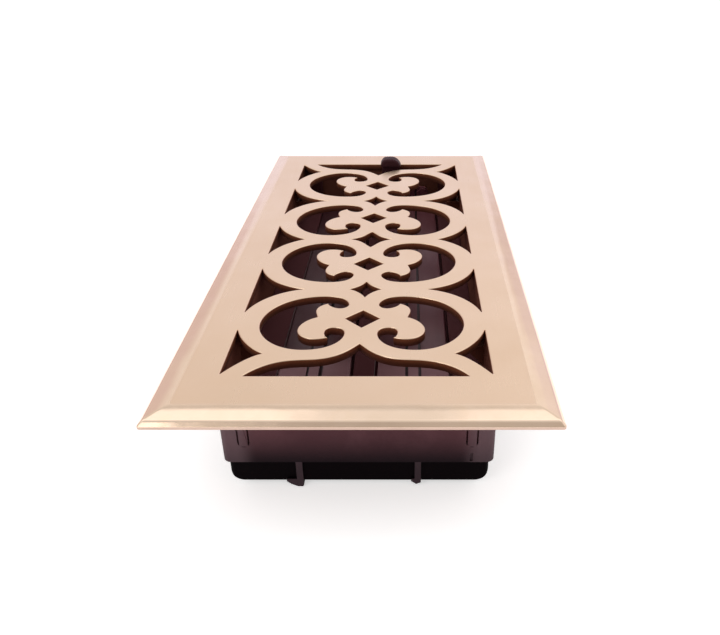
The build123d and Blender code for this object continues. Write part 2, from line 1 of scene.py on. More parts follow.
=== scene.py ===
import bpy
import bmesh
import math
import numpy as np
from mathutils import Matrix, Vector
from mathutils.geometry import delaunay_2d_cdt


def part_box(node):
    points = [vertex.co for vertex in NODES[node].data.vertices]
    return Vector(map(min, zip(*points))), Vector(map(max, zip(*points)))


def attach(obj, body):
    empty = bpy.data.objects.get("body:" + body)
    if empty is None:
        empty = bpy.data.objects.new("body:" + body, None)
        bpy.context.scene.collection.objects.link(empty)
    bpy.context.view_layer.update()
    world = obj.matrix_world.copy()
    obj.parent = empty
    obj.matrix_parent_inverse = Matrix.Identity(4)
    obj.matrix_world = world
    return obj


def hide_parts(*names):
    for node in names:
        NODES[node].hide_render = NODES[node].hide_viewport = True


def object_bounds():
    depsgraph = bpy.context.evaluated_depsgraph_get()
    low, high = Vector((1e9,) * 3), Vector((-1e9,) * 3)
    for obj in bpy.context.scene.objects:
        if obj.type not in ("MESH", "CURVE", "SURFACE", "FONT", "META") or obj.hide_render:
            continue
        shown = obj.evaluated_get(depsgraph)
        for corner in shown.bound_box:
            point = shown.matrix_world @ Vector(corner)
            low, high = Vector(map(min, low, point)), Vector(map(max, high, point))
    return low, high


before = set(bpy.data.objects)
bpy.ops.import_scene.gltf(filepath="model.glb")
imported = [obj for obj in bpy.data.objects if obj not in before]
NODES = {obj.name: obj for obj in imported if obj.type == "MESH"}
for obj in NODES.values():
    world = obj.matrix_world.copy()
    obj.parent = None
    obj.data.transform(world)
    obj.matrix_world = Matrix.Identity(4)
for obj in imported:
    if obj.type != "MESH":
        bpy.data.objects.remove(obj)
cad_box = [list(map(float, c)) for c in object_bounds()]
MM = 0.001


# ------------------------------------------------------------------ materials
def new_material(name):
    m = bpy.data.materials.new(name)
    m.use_nodes = True
    nt = m.node_tree
    nt.nodes.clear()
    out = nt.nodes.new("ShaderNodeOutputMaterial")
    bsdf = nt.nodes.new("ShaderNodeBsdfPrincipled")
    nt.links.new(bsdf.outputs["BSDF"], out.inputs["Surface"])
    return m, nt, bsdf


def node(nt, kind, **props):
    n = nt.nodes.new(kind)
    for k, v in props.items():
        setattr(n, k, v)
    return n


def math_node(nt, op, a, b=None, clamp=False):
    n = node(nt, "ShaderNodeMath", operation=op, use_clamp=clamp)
    for i, v in enumerate((a, b)):
        if v is None:
            continue
        if isinstance(v, (int, float)):
            n.inputs[i].default_value = v
        else:
            nt.links.new(v, n.inputs[i])
    return n.outputs[0]


def ramp(nt, fac, stops, interp="LINEAR"):
    r = node(nt, "ShaderNodeValToRGB")
    r.color_ramp.interpolation = interp
    el = r.color_ramp.elements
    while len(el) > 1:
        el.remove(el[-1])
    el[0].position, el[0].color = stops[0][0], stops[0][1]
    for p, c in stops[1:]:
        e = el.new(p)
        e.color = c
    nt.links.new(fac, r.inputs["Fac"])
    return r.outputs["Color"]


def grey(v):
    return (v, v, v, 1.0)


def noise(nt, coord, scale, detail=3.0, rough=0.55, stretch=None):
    src = coord
    if stretch is not None:
        mp = node(nt, "ShaderNodeMapping")
        mp.inputs["Scale"].default_value = stretch
        nt.links.new(coord, mp.inputs["Vector"])
        src = mp.outputs["Vector"]
    n = node(nt, "ShaderNodeTexNoise")
    n.inputs["Scale"].default_value = scale
    n.inputs["Detail"].default_value = detail
    n.inputs["Roughness"].default_value = rough
    nt.links.new(src, n.inputs["Vector"])
    return n.outputs["Fac"]


def mix_color(nt, fac, a, b, mode="MIX"):
    m = node(nt, "ShaderNodeMix", data_type="RGBA", blend_type=mode)
    for sock, v in ((0, fac), (6, a), (7, b)):
        if isinstance(v, (int, float)):
            m.inputs[sock].default_value = v
        elif isinstance(v, tuple):
            m.inputs[sock].default_value = v
        else:
            nt.links.new(v, m.inputs[sock])
    return m.outputs[2]


def bump(nt, height, strength, distance, normal=None):
    b = node(nt, "ShaderNodeBump")
    b.inputs["Strength"].default_value = strength
    b.inputs["Distance"].default_value = distance
    nt.links.new(height, b.inputs["Height"])
    if normal is not None:
        nt.links.new(normal, b.inputs["Normal"])
    return b.outputs["Normal"]


def brass_polished():
    """Face of the plate: cast brass, linished along its length and lacquered."""
    m, nt, b = new_material("brass_polished")
    tc = node(nt, "ShaderNodeTexCoord").outputs["Object"]
    soft = noise(nt, tc, 16.0, 2.0, 0.5)
    mid = noise(nt, tc, 60.0, 3.0, 0.55)
    fine = noise(nt, tc, 420.0, 4.0, 0.6)
    lines = noise(nt, tc, 1.0, 4.0, 0.7, stretch=(2600.0, 60.0, 2600.0))
    warm = ramp(nt, soft, [(0.30, (0.81, 0.600, 0.435, 1)),
                           (0.55, (0.84, 0.628, 0.465, 1)),
                           (0.75, (0.86, 0.655, 0.495, 1))])
    col = mix_color(nt, ramp(nt, mid, [(0.35, grey(0.0)), (0.8, grey(0.35))]),
                    warm, (0.80, 0.585, 0.40, 1))
    # slightly darker freckles of old lacquer
    spots = ramp(nt, fine, [(0.66, grey(0.0)), (0.82, grey(0.05))])
    col = mix_color(nt, spots, col, (0.66, 0.45, 0.27, 1))
    nt.links.new(col, b.inputs["Base Color"])
    b.inputs["Metallic"].default_value = 1.0
    r1 = ramp(nt, mid, [(0.3, grey(0.24)), (0.75, grey(0.33))])
    r2 = ramp(nt, lines, [(0.3, grey(0.0)), (0.8, grey(0.10))])
    rr = math_node(nt, "ADD", r1, r2)
    nt.links.new(rr, b.inputs["Roughness"])
    b.inputs["Coat Weight"].default_value = 0.15
    b.inputs["Coat Roughness"].default_value = 0.12
    n1 = bump(nt, soft, 0.10, 0.004)
    n2 = bump(nt, lines, 0.05, 0.00010, n1)
    n3 = bump(nt, mid, 0.02, 0.0003, n2)
    nt.links.new(n3, b.inputs["Normal"])
    return m


def brass_bevel():
    """Bevel round the plate: the same brass, buffed brighter by hand."""
    m, nt, b = new_material("brass_bevel")
    tc = node(nt, "ShaderNodeTexCoord").outputs["Object"]
    wave = noise(nt, tc, 30.0, 1.5, 0.5)
    mid = noise(nt, tc, 75.0, 3.0, 0.55)
    lines = noise(nt, tc, 1.0, 3.0, 0.6, stretch=(240.0, 240.0, 900.0))
    col = ramp(nt, mid, [(0.30, (0.84, 0.640, 0.485, 1)),
                         (0.60, (0.87, 0.672, 0.520, 1)),
                         (0.80, (0.85, 0.640, 0.470, 1))])
    nt.links.new(col, b.inputs["Base Color"])
    b.inputs["Metallic"].default_value = 1.0
    nt.links.new(ramp(nt, lines, [(0.3, grey(0.15)), (0.8, grey(0.23))]),
                 b.inputs["Roughness"])
    n1 = bump(nt, wave, 0.22, 0.0035)
    n2 = bump(nt, lines, 0.04, 0.0002, n1)
    nt.links.new(n2, b.inputs["Normal"])
    return m


def brass_edge():
    """Upright edge round the plate: brushed crosswise, duller."""
    m, nt, b = new_material("brass_edge")
    tc = node(nt, "ShaderNodeTexCoord").outputs["Object"]
    mid = noise(nt, tc, 90.0, 3.0, 0.55)
    lines = noise(nt, tc, 1.0, 4.0, 0.7, stretch=(900.0, 900.0, 6000.0))
    col = ramp(nt, mid, [(0.30, (0.56, 0.40, 0.33, 1)),
                         (0.55, (0.62, 0.45, 0.37, 1)),
                         (0.80, (0.68, 0.50, 0.41, 1))])
    nt.links.new(col, b.inputs["Base Color"])
    b.inputs["Metallic"].default_value = 1.0
    nt.links.new(ramp(nt, lines, [(0.3, grey(0.36)), (0.8, grey(0.50))]),
                 b.inputs["Roughness"])
    nt.links.new(bump(nt, lines, 0.12, 0.0001), b.inputs["Normal"])
    return m


def brass_cast():
    """Sides of the piercings and the underside: brass as cast, dark oxide."""
    m, nt, b = new_material("brass_cast")
    tc = node(nt, "ShaderNodeTexCoord").outputs["Object"]
    big = noise(nt, tc, 45.0, 3.0, 0.55)
    fine = noise(nt, tc, 900.0, 5.0, 0.65)
    grain = noise(nt, tc, 2600.0, 3.0, 0.6)
    col = ramp(nt, big, [(0.30, (0.270, 0.082, 0.036, 1)),
                         (0.55, (0.350, 0.120, 0.054, 1)),
                         (0.78, (0.430, 0.165, 0.078, 1))])
    tarn = ramp(nt, fine, [(0.50, grey(0.0)), (0.75, grey(0.5))])
    col = mix_color(nt, tarn, col, (0.130, 0.040, 0.020, 1))
    # thicker oxide deep in the piercings, where no cloth reaches
    sep = node(nt, "ShaderNodeSeparateXYZ")
    nt.links.new(tc, sep.inputs[0])
    deep = node(nt, "ShaderNodeMapRange", interpolation_type="SMOOTHSTEP")
    deep.inputs["From Min"].default_value = 0.0011
    deep.inputs["From Max"].default_value = 0.0034
    deep.inputs["To Min"].default_value = 1.0
    deep.inputs["To Max"].default_value = 0.0
    nt.links.new(sep.outputs["Z"], deep.inputs["Value"])
    col = mix_color(nt, deep.outputs["Result"], col, (0.190, 0.070, 0.042, 1))
    nt.links.new(col, b.inputs["Base Color"])
    b.inputs["Metallic"].default_value = 0.6
    nt.links.new(ramp(nt, fine, [(0.3, grey(0.40)), (0.8, grey(0.60))]),
                 b.inputs["Roughness"])
    n1 = bump(nt, fine, 0.5, 0.0003)
    n2 = bump(nt, grain, 0.3, 0.0001, n1)
    nt.links.new(n2, b.inputs["Normal"])
    return m


def plastic(name, dark, mid_c, light, rough_lo, rough_hi, grain=0.35,
            gloss=0.5, painted_shade=None, painted_highlight=None, painted_groove_shade=None, painted_light_and_brown_middle=False,
            inside=None):
    """Moulded plastic.

    painted_shade = (z low, z high, colour): painted shade, the wall darkens downwards to
    colour.
    painted_highlight = (x in, x out, y in, y out, colour): painted highlight, lighter out
    there.
    painted_groove_shade = (x, half gap, colour): painted shade, dark lines in the grooves
    beside a spine.
    inside = (x, y, z, colour): browner within the walls, above z.
    painted_light_and_brown_middle: painted shade towards one side and painted light at the
    near end; browner at the middle.
    """
    m, nt, b = new_material(name)
    tc = node(nt, "ShaderNodeTexCoord").outputs["Object"]
    big = noise(nt, tc, 22.0, 3.0, 0.5)
    flow = noise(nt, tc, 1.0, 3.0, 0.6, stretch=(90.0, 14.0, 60.0))
    fine = noise(nt, tc, 1500.0, 3.0, 0.6)
    col = ramp(nt, big, [(0.28, dark), (0.52, mid_c), (0.78, light)])
    col = mix_color(nt, ramp(nt, flow, [(0.45, grey(0.0)), (0.8, grey(0.4))]),
                    col, tuple(min(1.0, c * 1.35) for c in light[:3]) + (1,))
    # dust in the grain
    dust = ramp(nt, fine, [(0.60, grey(0.0)), (0.85, grey(0.08))])
    col = mix_color(nt, dust, col, (0.20, 0.15, 0.15, 1))
    sep = node(nt, "ShaderNodeSeparateXYZ")
    nt.links.new(tc, sep.inputs[0])
    if painted_shade:
        # painted shade: darker downwards towards the given colour
        mr = node(nt, "ShaderNodeMapRange", interpolation_type="SMOOTHSTEP")
        mr.inputs["From Min"].default_value = painted_shade[0]
        mr.inputs["From Max"].default_value = painted_shade[1]
        mr.inputs["To Min"].default_value = 1.0
        mr.inputs["To Max"].default_value = 0.0
        nt.links.new(sep.outputs["Z"], mr.inputs["Value"])
        col = mix_color(nt, mr.outputs["Result"], col, painted_shade[2])
    if painted_highlight:
        # painted highlight: lighter out past the given x and y
        masks = []
        for axis, lo, hi in (("X", painted_highlight[0], painted_highlight[1]), ("Y", painted_highlight[2], painted_highlight[3])):
            mx = node(nt, "ShaderNodeMapRange",
                      interpolation_type="SMOOTHSTEP")
            mx.inputs["From Min"].default_value = lo
            mx.inputs["From Max"].default_value = hi
            nt.links.new(math_node(nt, "ABSOLUTE", sep.outputs[axis]),
                         mx.inputs["Value"])
            masks.append(mx.outputs["Result"])
        both = math_node(nt, "MULTIPLY", masks[0], masks[1])
        painted_glint = ramp(nt, big, [(0.25, grey(0.55)), (0.70, grey(0.90))])
        # the painted highlight is fainter low down
        lift = ramp(nt, math_node(nt, "MULTIPLY", sep.outputs["Z"], -1.0),
                    [(0.010, grey(1.0)), (0.034, grey(0.45))])
        painted_glint = math_node(nt, "MULTIPLY", painted_glint, lift)
        col = mix_color(nt, math_node(nt, "MULTIPLY", both, painted_glint),
                        col, painted_highlight[4])
    if inside:
        within = None
        for axis, lim in (("X", inside[0]), ("Y", inside[1])):
            mi = node(nt, "ShaderNodeMapRange")
            mi.inputs["From Min"].default_value = lim - 0.0002
            mi.inputs["From Max"].default_value = lim
            mi.inputs["To Min"].default_value = 1.0
            mi.inputs["To Max"].default_value = 0.0
            nt.links.new(math_node(nt, "ABSOLUTE", sep.outputs[axis]),
                         mi.inputs["Value"])
            within = (mi.outputs["Result"] if within is None else
                      math_node(nt, "MULTIPLY", within, mi.outputs["Result"]))
        mi = node(nt, "ShaderNodeMapRange")
        mi.inputs["From Min"].default_value = inside[2]
        mi.inputs["From Max"].default_value = inside[2] + 0.0005
        nt.links.new(sep.outputs["Z"], mi.inputs["Value"])
        within = math_node(nt, "MULTIPLY", within, mi.outputs["Result"])
        col = mix_color(nt, math_node(nt, "MULTIPLY", within, 0.9), col,
                        inside[3])
    if painted_light_and_brown_middle:
        # painted shade: darker towards -x, lighter towards +x
        painted_side_light = ramp(nt, math_node(nt, "ADD", math_node(
            nt, "MULTIPLY", sep.outputs["X"], 11.0), 0.5),
            [(0.0, grey(0.36)), (0.44, grey(0.55)), (0.58, grey(0.72)),
             (0.80, grey(1.0))])
        col = mix_color(nt, 1.0, col, painted_side_light, mode="MULTIPLY")
        mid_m = node(nt, "ShaderNodeMapRange", interpolation_type="SMOOTHSTEP")
        mid_m.inputs["From Min"].default_value = 0.0030
        mid_m.inputs["From Max"].default_value = 0.0075
        mid_m.inputs["To Min"].default_value = 0.80
        mid_m.inputs["To Max"].default_value = 0.0
        nt.links.new(math_node(nt, "ABSOLUTE", sep.outputs["X"]),
                     mid_m.inputs["Value"])
        col = mix_color(nt, mid_m.outputs["Result"], col,
                        (0.200, 0.075, 0.045, 1))
        # painted light: lighter at the near end
        near = node(nt, "ShaderNodeMapRange", interpolation_type="SMOOTHSTEP")
        near.inputs["From Min"].default_value = -0.082
        near.inputs["From Max"].default_value = -0.062
        near.inputs["To Min"].default_value = 0.85
        near.inputs["To Max"].default_value = 0.0
        nt.links.new(sep.outputs["Y"], near.inputs["Value"])
        col = mix_color(nt, near.outputs["Result"], col,
                        (0.330, 0.170, 0.185, 1))
    if painted_groove_shade:
        # painted shade: near-black lines beside the spine
        off = math_node(nt, "SUBTRACT", math_node(nt, "ABSOLUTE",
                                                  sep.outputs["X"]),
                        painted_groove_shade[0])
        off = math_node(nt, "SUBTRACT", math_node(nt, "ABSOLUTE", off),
                        painted_groove_shade[1])
        off = math_node(nt, "ABSOLUTE", off)
        gm = node(nt, "ShaderNodeMapRange", interpolation_type="SMOOTHSTEP")
        gm.inputs["From Min"].default_value = 0.00045
        gm.inputs["From Max"].default_value = 0.00075
        gm.inputs["To Min"].default_value = 0.92
        gm.inputs["To Max"].default_value = 0.0
        nt.links.new(off, gm.inputs["Value"])
        col = mix_color(nt, gm.outputs["Result"], col, painted_groove_shade[2])
    nt.links.new(col, b.inputs["Base Color"])
    r = ramp(nt, big, [(0.3, grey(rough_lo)), (0.75, grey(rough_hi))])
    r = math_node(nt, "ADD", r, ramp(nt, fine, [(0.4, grey(0.0)),
                                                (0.8, grey(0.08))]))
    nt.links.new(r, b.inputs["Roughness"])
    b.inputs["Specular IOR Level"].default_value = gloss
    n1 = bump(nt, flow, 0.15, 0.0006)
    n2 = bump(nt, fine, grain, 0.00008, n1)
    nt.links.new(n2, b.inputs["Normal"])
    return m


def zinc():
    m, nt, b = new_material("zinc_plate")
    tc = node(nt, "ShaderNodeTexCoord").outputs["Object"]
    big = noise(nt, tc, 320.0, 3.0, 0.5)
    fine = noise(nt, tc, 3000.0, 3.0, 0.6)
    nt.links.new(ramp(nt, big, [(0.3, (0.50, 0.49, 0.47, 1)),
                                (0.6, (0.64, 0.63, 0.60, 1)),
                                (0.8, (0.70, 0.66, 0.58, 1))]),
                 b.inputs["Base Color"])
    b.inputs["Metallic"].default_value = 1.0
    nt.links.new(ramp(nt, fine, [(0.3, grey(0.28)), (0.8, grey(0.42))]),
                 b.inputs["Roughness"])
    nt.links.new(bump(nt, fine, 0.25, 0.00004), b.inputs["Normal"])
    return m


MAT_BRASS = brass_polished()
MAT_CAST = brass_cast()
MAT_EDGE = brass_edge()
MAT_BEVEL = brass_bevel()
MAT_CASING = plastic("casing_plastic", (0.080, 0.029, 0.036, 1),
                     (0.098, 0.039, 0.047, 1), (0.118, 0.052, 0.061, 1),
                     0.42, 0.55, gloss=0.08,
                     # painted shade: the housing wall darkens downwards
                     painted_shade=(-0.0320, -0.0140, (0.0055, 0.0026, 0.0045, 1)),
                     # painted highlight: lighter strips at the corners of the end walls
                     painted_highlight=(0.0365, 0.0440, 0.1195, 0.1225,
                           (0.135, 0.088, 0.100, 1)),
                     inside=(0.0483, 0.1229, -0.0400,
                             (0.230, 0.085, 0.055, 1)))
MAT_TRAY = plastic("tray_plastic", (0.075, 0.021, 0.025, 1),
                   (0.098, 0.031, 0.036, 1), (0.118, 0.042, 0.049, 1),
                   0.45, 0.56, gloss=0.03,
                   # painted shade: the tray darkens to near black low down
                   painted_shade=(-0.0270, -0.0235, (0.0012, 0.0005, 0.0010, 1)),
                   # painted highlight: lighter faces on the ribs at the ends
                   painted_highlight=(-2.0, -1.0, 0.1224, 0.1228,
                         (0.118, 0.078, 0.092, 1)),
                   inside=(0.0468, 0.1213, -0.0355,
                           (0.118, 0.042, 0.046, 1)))
MAT_BLADE = plastic("blade_plastic", (0.120, 0.034, 0.043, 1),
                    (0.158, 0.048, 0.060, 1), (0.192, 0.068, 0.082, 1),
                    0.30, 0.42, gloss=0.55, painted_light_and_brown_middle=True,
                    # painted shade: dark lines beside the blade spines
                    painted_groove_shade=(0.020, 0.00265, (0.004, 0.0012, 0.0018, 1)))
for _m in (MAT_BLADE, MAT_CASING, MAT_TRAY):
    _b = [n for n in _m.node_tree.nodes if n.type == "BSDF_PRINCIPLED"][0]
    _b.inputs["Specular Tint"].default_value = (1.0, 0.72, 0.77, 1.0)
MAT_LEVER = plastic("lever_plastic", (0.030, 0.0085, 0.0120, 1),
                    (0.044, 0.0140, 0.0185, 1), (0.058, 0.0200, 0.0250, 1),
                    0.42, 0.52, grain=0.15, gloss=0.10)
MAT_ZINC = zinc()


# ------------------------------------------------------- outlines of the plate
def top_loops(obj, z_top):
    """Boundary loops of the highest flat face, as lists of (x, y), metres."""
    me = obj.data
    key = lambda v: (round(v.x * 1e6), round(v.y * 1e6))
    pts, count = {}, {}
    for p in me.polygons:
        vs = [me.vertices[i].co for i in p.vertices]
        if any(abs(v.z - z_top) > 2e-6 for v in vs):
            continue
        ks = [key(v) for v in vs]
        for k, v in zip(ks, vs):
            pts[k] = (v.x, v.y)
        for a, b in zip(ks, ks[1:] + ks[:1]):
            count[(a, b)] = count.get((a, b), 0) + 1
    nxt = {}
    for (a, b) in count:
        if (b, a) not in count:
            nxt[a] = b
    loops = []
    while nxt:
        start = min(nxt)
        loop, k = [], start
        while k in nxt:
            loop.append(pts[k])
            k = nxt.pop(k)
        loops.append(np.array(loop))
    return loops


def spline_run(p, step):
    """Points at about that step on the natural cubic through p."""
    d = np.linalg.norm(np.diff(p, axis=0), axis=1)
    t = np.r_[0, np.cumsum(d)]
    n = len(t)
    length = t[-1]
    count = max(1, int(math.ceil(length / step)))
    s = np.linspace(0, length, count + 1)
    if n < 4:
        return np.c_[np.interp(s, t, p[:, 0]), np.interp(s, t, p[:, 1])]
    h = np.diff(t)
    A = np.zeros((n, n))
    A[0, 0] = A[-1, -1] = 1
    for i in range(1, n - 1):
        A[i, i - 1], A[i, i], A[i, i + 1] = h[i - 1], 2 * (h[i - 1] + h[i]), h[i]
    out = []
    for c in range(2):
        rhs = np.zeros(n)
        y = p[:, c]
        rhs[1:-1] = 6 * ((y[2:] - y[1:-1]) / h[1:] - (y[1:-1] - y[:-2]) / h[:-1])
        mm = np.linalg.solve(A, rhs)
        k = np.clip(np.searchsorted(t, s, side="right") - 1, 0, n - 2)
        a, b = t[k + 1] - s, s - t[k]
        hk = h[k]
        out.append(mm[k] * a ** 3 / (6 * hk) + mm[k + 1] * b ** 3 / (6 * hk)
                   + (y[k] / hk - mm[k] * hk / 6) * a
                   + (y[k + 1] / hk - mm[k + 1] * hk / 6) * b)
    return np.array(out).T


def resample(loop, step, corner_deg=30.0):
    """Loop resampled evenly and smoothly between its sharp corners."""
    e = np.roll(loop, -1, 0) - loop
    a = np.arctan2(e[:, 1], e[:, 0])
    turn = np.abs((a - np.roll(a, 1) + np.pi) % (2 * np.pi) - np.pi)
    corners = [i for i in range(len(loop)) if turn[i] > math.radians(corner_deg)]
    if not corners:
        corners = [0]
    out, sharp = [], []
    n = len(loop)
    for c, i in enumerate(corners):
        j = corners[(c + 1) % len(corners)]
        if j <= i:
            j += n
        run = np.array([loop[k % n] for k in range(i, j + 1)])
        r = spline_run(run, step)
        sharp.append(len(out))
        out.extend(r[:-1].tolist())
    return np.array(out), sharp


def push(loop, dist, limit=2.0):
    """Loop moved to its right-hand side by dist, with limited mitres."""
    e = np.roll(loop, -1, 0) - loop
    e /= np.maximum(np.linalg.norm(e, axis=1), 1e-12)[:, None]
    n1 = np.c_[e[:, 1], -e[:, 0]]
    n0 = np.roll(n1, 1, 0)
    m = n0 + n1
    ln = np.linalg.norm(m, axis=1)
    m /= np.maximum(ln, 1e-9)[:, None]
    c = np.maximum(np.sum(m * n1, axis=1), 1.0 / limit)
    return loop + m * (dist / c)[:, None]


def area(loop):
    x, y = loop[:, 0], loop[:, 1]
    return 0.5 * np.sum(x * np.roll(y, -1) - np.roll(x, -1) * y)


def build_plate():
    src = NODES["faceplate"]
    lo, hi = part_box("faceplate")
    half_w, half_l = hi[0], hi[1]
    z_top = hi[2]
    loops = top_loops(src, z_top)
    loops.sort(key=lambda q: -abs(area(q)))
    holes = []
    for q in loops[1:]:
        if area(q) < 0:
            q = q[::-1]
        q, _ = resample(q, 0.55 * MM)
        holes.append(q)

    bm = bmesh.new()

    def ring(loop, z):
        return [bm.verts.new((x, y, z)) for x, y in loop]

    def bridge(a, b, mat, smooth):
        n = len(a)
        for i in range(n):
            j = (i + 1) % n
            try:
                f = bm.faces.new((a[i], a[j], b[j], b[i]))
            except ValueError:
                continue
            f.material_index = mat
            f.smooth = smooth

    def cap(outer, inner, z_up, mat):
        """Flat face between one outer loop of verts and several inner ones."""
        verts = [v for l in [outer] + inner for v in l]
        co = [Vector((v.co.x, v.co.y)) for v in verts]
        faces, s = [], 0
        for l in [outer] + inner:
            faces.append(list(range(s, s + len(l))))
            s += len(l)
        # scaled up: the triangulation works in its own units
        co = [c * 1000.0 for c in co]
        ov, oe, of, iv, ie, io = delaunay_2d_cdt(co, [], faces, 0, 1e-7, True)
        idx = {}
        for k, src_ids in enumerate(iv):
            idx[k] = src_ids[0] if src_ids else None
        for f, tags in zip(of, io):
            if 0 not in tags or any(t > 0 for t in tags):
                continue
            ids = [idx[k] for k in f]
            if any(i is None for i in ids) or len(set(ids)) < 3:
                continue
            vs = [verts[i] for i in ids]
            if not z_up:
                vs = vs[::-1]
            try:
                g = bm.faces.new(vs)
            except ValueError:
                continue
            g.material_index = mat
            g.smooth = False

    def rect(inset, rc, seg=6):
        hx, hy = half_w - inset, half_l - inset
        pts = []
        for cx, cy, a0 in ((hx - rc, hy - rc, 0), (-hx + rc, hy - rc, 90),
                           (-hx + rc, -hy + rc, 180), (hx - rc, -hy + rc, 270)):
            for i in range(seg + 1):
                a = math.radians(a0 + 90.0 * i / seg)
                pts.append((cx + rc * math.cos(a), cy + rc * math.sin(a)))
        return np.array(pts)

    # outside profile (inset, z), from the rim's inner edge round to the top
    web, bev = 0.6, 6.8
    roll_in, roll_z = 1.5, 2.75
    t = z_top / MM
    rise = (t - roll_z) / (bev - roll_in)
    slope = math.atan(rise)
    prof = [(5.0, web), (5.0, 0.15), (4.85, 0.0), (0.30, 0.0)]
    for i in range(1, 4):                       # lower arris
        a = math.radians(90 * i / 3)
        prof.append((0.30 - 0.30 * math.sin(a), 0.30 - 0.30 * math.cos(a)))
    flat_from = len(prof) - 1
    # rolled edge, from the land round to the bevel
    facet = math.atan2(roll_z - 1.2, roll_in)
    r1 = 0.25
    k1 = r1 * math.tan((math.pi / 2 - facet) / 2)
    for i in range(0, 4):
        a = (math.pi / 2 - facet) * i / 3
        prof.append((r1 - r1 * math.cos(a), 1.2 - k1 + r1 * math.sin(a)))
    r3 = 2.2                                    # facet to bevel
    k3 = r3 * math.tan((facet - slope) / 2)
    px, pz = roll_in - k3 * math.cos(facet), roll_z - k3 * math.sin(facet)
    ox, oz = px + r3 * math.sin(facet), pz - r3 * math.cos(facet)
    for i in range(0, 7):
        a = facet + (slope - facet) * i / 6
        prof.append((ox - r3 * math.sin(a), oz + r3 * math.cos(a)))
    r2 = 15.0                                   # bevel to top, a soft turn
    k2 = r2 * math.tan(slope / 2)
    cx, cz = bev + k2, t - r2
    for i in range(0, 9):
        a = slope * (1 - i / 8)
        prof.append((cx - r2 * math.sin(a), cz + r2 * math.cos(a)))
    rings = []
    for k, (inset, z) in enumerate(prof):
        rc = 2.95 if k < 2 else (2.85 if k == 2 else 0.8)
        rings.append(ring(rect(inset * MM, rc * MM), z * MM))
    for k in range(len(rings) - 1):
        a, b = prof[k], prof[k + 1]
        flat = (abs(a[0] - b[0]) > 2.0 or abs(a[1] - b[1]) > 0.8)
        mat = 1 if k < 3 else (2 if b[1] < 1.15 else 3)
        bridge(rings[k], rings[k + 1], mat, not flat)

    # piercings: rounded arris above, plain wall, small arris below
    r_top, r_low = 0.50, 0.15
    top_in, low_in = [], []
    for q in holes:
        seq = []
        for i in range(5):
            a = math.radians(90 * i / 4)
            seq.append((r_top * (1 - math.sin(a)), t - r_top * (1 - math.cos(a))))
        seq.append((0.0, 2.75))
        seq.append((0.0, web + r_low))
        seq.append((r_low, web))
        rs = [ring(push(q, d * MM), z * MM) for d, z in seq]
        for i in range(len(rs) - 1):
            mat = 0 if i < 3 else 1
            bridge(rs[i], rs[i + 1], mat, True)
        top_in.append(rs[0])
        low_in.append(rs[-1])
    cap(rings[-1], top_in, True, 0)

    # screw bosses, each with its blind hole
    boss_in = []
    b_lo = lo[2] / MM
    for sx in (1, -1):
        for sy in (1, -1):
            bx, by = sx * 43.1, sy * 80.8
            seq = [(3.35, web), (3.12, web - 0.1), (3.0, web - 0.3),
                   (3.0, b_lo + 0.25),
                   (2.75, b_lo), (1.55, b_lo), (1.3, b_lo + 0.25), (1.3, 1.5)]
            rs = []
            for r, z in seq:
                rs.append([bm.verts.new(((bx + r * math.cos(2 * math.pi * i / 40)) * MM,
                                         (by + r * math.sin(2 * math.pi * i / 40)) * MM,
                                         z * MM)) for i in range(40)])
            for i in range(len(rs) - 1):
                bridge(rs[i], rs[i + 1], 1, True)
            tip = bm.verts.new((bx * MM, by * MM, 1.6 * MM))
            for i in range(40):
                f = bm.faces.new((rs[-1][i], rs[-1][(i + 1) % 40], tip))
                f.material_index = 1
                f.smooth = True
            boss_in.append(rs[0])
    cap(rings[0], low_in + boss_in, False, 1)

    bmesh.ops.recalc_face_normals(bm, faces=bm.faces)
    me = bpy.data.meshes.new("faceplate_brass")
    bm.to_mesh(me)
    bm.free()
    me.materials.append(MAT_BRASS)
    me.materials.append(MAT_CAST)
    me.materials.append(MAT_EDGE)
    me.materials.append(MAT_BEVEL)
    ob = bpy.data.objects.new("faceplate_brass", me)
    bpy.context.scene.collection.objects.link(ob)
    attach(ob, "casing")
    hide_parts("faceplate")
    return ob


plate = build_plate()


# ----------------------------------------------------------- carried CAD nodes
def dress(name, material, width=0.25, segments=2, angle=28.0):
    o = NODES[name]
    o.data.materials.clear()
    o.data.materials.append(material)
    w = o.modifiers.new("weld", "WELD")
    w.merge_threshold = 1e-6
    d = o.modifiers.new("flats", "DECIMATE")
    d.decimate_type = "DISSOLVE"
    d.angle_limit = math.radians(0.6)
    b = o.modifiers.new("arris", "BEVEL")
    b.width = width * MM
    b.segments = segments
    b.limit_method = "ANGLE"
    b.angle_limit = math.radians(angle)
    b.miter_outer = "MITER_ARC"
    b.harden_normals = False
    n = o.modifiers.new("normals", "WEIGHTED_NORMAL")
    n.keep_sharp = False
    n.weight = 80
    return o


for nm, mat, wd in (("damper_housing", MAT_CASING, 0.22),
                    ("bottom_frame", MAT_TRAY, 0.20),
                    ("blade_left", MAT_BLADE, 0.06),
                    ("blade_right", MAT_BLADE, 0.06),
                    ("link_bar", MAT_BLADE, 0.15),
                    ("thumb_lever", MAT_LEVER, 0.18),
                    ("link_clip_left", MAT_ZINC, 0.06),
                    ("link_clip_right", MAT_ZINC, 0.06),
                    ("plate_screws", MAT_ZINC, 0.08)):
    dress(nm, mat, wd)
    for p in NODES[nm].data.polygons:
        p.use_smooth = True


# --------------------------------------------------------------- floor, lights
FLOOR_Z = cad_box[0][2] - 0.0001


